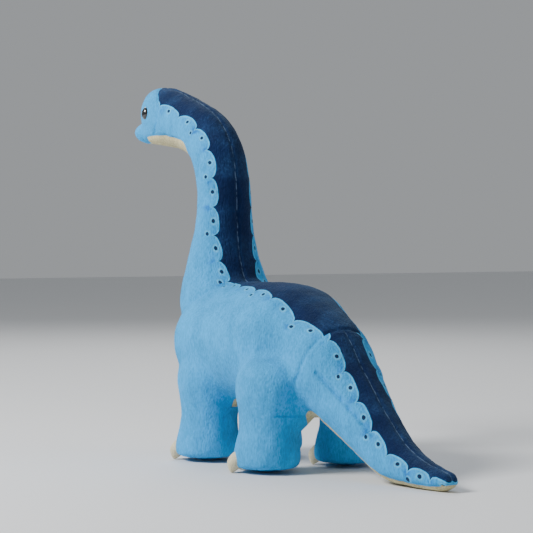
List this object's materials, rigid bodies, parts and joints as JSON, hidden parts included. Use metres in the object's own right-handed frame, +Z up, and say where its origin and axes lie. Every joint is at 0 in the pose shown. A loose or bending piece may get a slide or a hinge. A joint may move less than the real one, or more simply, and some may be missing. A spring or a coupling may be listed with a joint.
{
  "type": "stuffed dinosaur",
  "caption": "Plush long-necked dinosaur that stands on four stuffed legs, with a soft neck, head, tail and legs that bend at their seams.",
  "frame": {"origin": "middle of the underside of the toy's bounding box, on the surface that the soles rest on", "axes": "+Z up, -Y the way the toy faces, +X its left side"},
  "size_m": [0.1306, 0.4092, 0.299],
  "materials": {
    "sky_plush": "short plush pile, printed",
    "navy_plush": "short plush pile, printed",
    "cream_plush": "short plush pile",
    "claw_plush": "short plush pile",
    "fibre_filling": "loose polyester fibre",
    "eye_plastic": "polished",
    "washer_plastic": "moulded"
  },
  "bodies": {
    "torso": {"torso_cover_left": "sky_plush", "torso_cover_right": "sky_plush", "belly_panel": "cream_plush", "torso_filling": "fibre_filling"},
    "neck": {"neck_cover_left": "navy_plush", "neck_cover_right": "navy_plush", "throat_strip": "cream_plush", "neck_filling": "fibre_filling"},
    "head": {"head_cover_left": "sky_plush", "head_cover_right": "sky_plush", "lower_jaw": "cream_plush", "head_filling": "fibre_filling", "eye_left": "eye_plastic", "eye_right": "eye_plastic", "eye_washer_left": "washer_plastic", "eye_washer_right": "washer_plastic"},
    "tail": {"tail_cover_left": "navy_plush", "tail_cover_right": "navy_plush", "tail_underside": "cream_plush", "tail_filling": "fibre_filling"},
    "tail_tip": {"tail_tip_cover_left": "navy_plush", "tail_tip_cover_right": "navy_plush", "tail_tip_underside": "cream_plush", "tail_tip_filling": "fibre_filling"},
    "front_left_leg": {"front_left_leg_cover_outer": "sky_plush", "front_left_leg_cover_inner": "sky_plush", "front_left_leg_filling": "fibre_filling", "front_left_leg_sole": "sky_plush", "front_left_leg_claw_1": "claw_plush", "front_left_leg_claw_2": "claw_plush", "front_left_leg_claw_3": "claw_plush"},
    "front_right_leg": {"front_right_leg_cover_outer": "sky_plush", "front_right_leg_cover_inner": "sky_plush", "front_right_leg_filling": "fibre_filling", "front_right_leg_sole": "sky_plush", "front_right_leg_claw_1": "claw_plush", "front_right_leg_claw_2": "claw_plush", "front_right_leg_claw_3": "claw_plush"},
    "rear_left_leg": {"rear_left_leg_cover_outer": "sky_plush", "rear_left_leg_cover_inner": "sky_plush", "rear_left_leg_filling": "fibre_filling", "rear_left_leg_sole": "sky_plush", "rear_left_leg_claw_1": "claw_plush", "rear_left_leg_claw_2": "claw_plush", "rear_left_leg_claw_3": "claw_plush"},
    "rear_right_leg": {"rear_right_leg_cover_outer": "sky_plush", "rear_right_leg_cover_inner": "sky_plush", "rear_right_leg_filling": "fibre_filling", "rear_right_leg_sole": "sky_plush", "rear_right_leg_claw_1": "claw_plush", "rear_right_leg_claw_2": "claw_plush", "rear_right_leg_claw_3": "claw_plush"}
  },
  "joints": [
    {"name": "neck_lean", "type": "hinge", "parent": "torso", "child": "neck", "pos_m": [0, -0.07748, 0.124], "axis": [1, 0, 0], "range_deg": [-10, 10], "stiffness_Nm_per_rad": 2, "deforming": ["neck_cover_left", "neck_cover_right", "throat_strip"]},
    {"name": "head_nod", "type": "hinge", "parent": "neck", "child": "head", "pos_m": [0, -0.09048, 0.239], "axis": [1, 0, 0], "range_deg": [-12, 12], "stiffness_Nm_per_rad": 1, "deforming": ["head_cover_left", "head_cover_right", "lower_jaw"]},
    {"name": "tail_lift", "type": "hinge", "parent": "torso", "child": "tail", "pos_m": [0, 0.06089, 0.077], "axis": [1, 0, 0], "range_deg": [-5, 15], "stiffness_Nm_per_rad": 2, "deforming": ["torso_cover_left", "torso_cover_right", "belly_panel", "tail_cover_left", "tail_cover_right", "tail_underside"]},
    {"name": "tail_sway", "type": "hinge", "parent": "tail", "child": "tail_tip", "pos_m": [0, 0.1159, 0.03388], "axis": [0, 0, 1], "range_deg": [-15, 15], "stiffness_Nm_per_rad": 1, "deforming": ["tail_tip_cover_left", "tail_tip_cover_right", "tail_tip_underside"]},
    {"name": "front_left_leg_swing", "type": "hinge", "parent": "torso", "child": "front_left_leg", "pos_m": [0.03, -0.05708, 0.056], "axis": [1, 0, 0], "range_deg": [-10, 10], "stiffness_Nm_per_rad": 3, "deforming": ["front_left_leg_cover_outer", "front_left_leg_cover_inner"]},
    {"name": "front_right_leg_swing", "type": "hinge", "parent": "torso", "child": "front_right_leg", "pos_m": [-0.03, -0.05708, 0.056], "axis": [1, 0, 0], "range_deg": [-10, 10], "stiffness_Nm_per_rad": 3, "deforming": ["front_right_leg_cover_outer", "front_right_leg_cover_inner"]},
    {"name": "rear_left_leg_swing", "type": "hinge", "parent": "torso", "child": "rear_left_leg", "pos_m": [0.037, 0.03492, 0.056], "axis": [1, 0, 0], "range_deg": [-10, 10], "stiffness_Nm_per_rad": 3, "deforming": ["rear_left_leg_cover_outer", "rear_left_leg_cover_inner"]},
    {"name": "rear_right_leg_swing", "type": "hinge", "parent": "torso", "child": "rear_right_leg", "pos_m": [-0.037, 0.03492, 0.056], "axis": [1, 0, 0], "range_deg": [-10, 10], "stiffness_Nm_per_rad": 3, "deforming": ["rear_right_leg_cover_outer", "rear_right_leg_cover_inner"]}
  ]
}
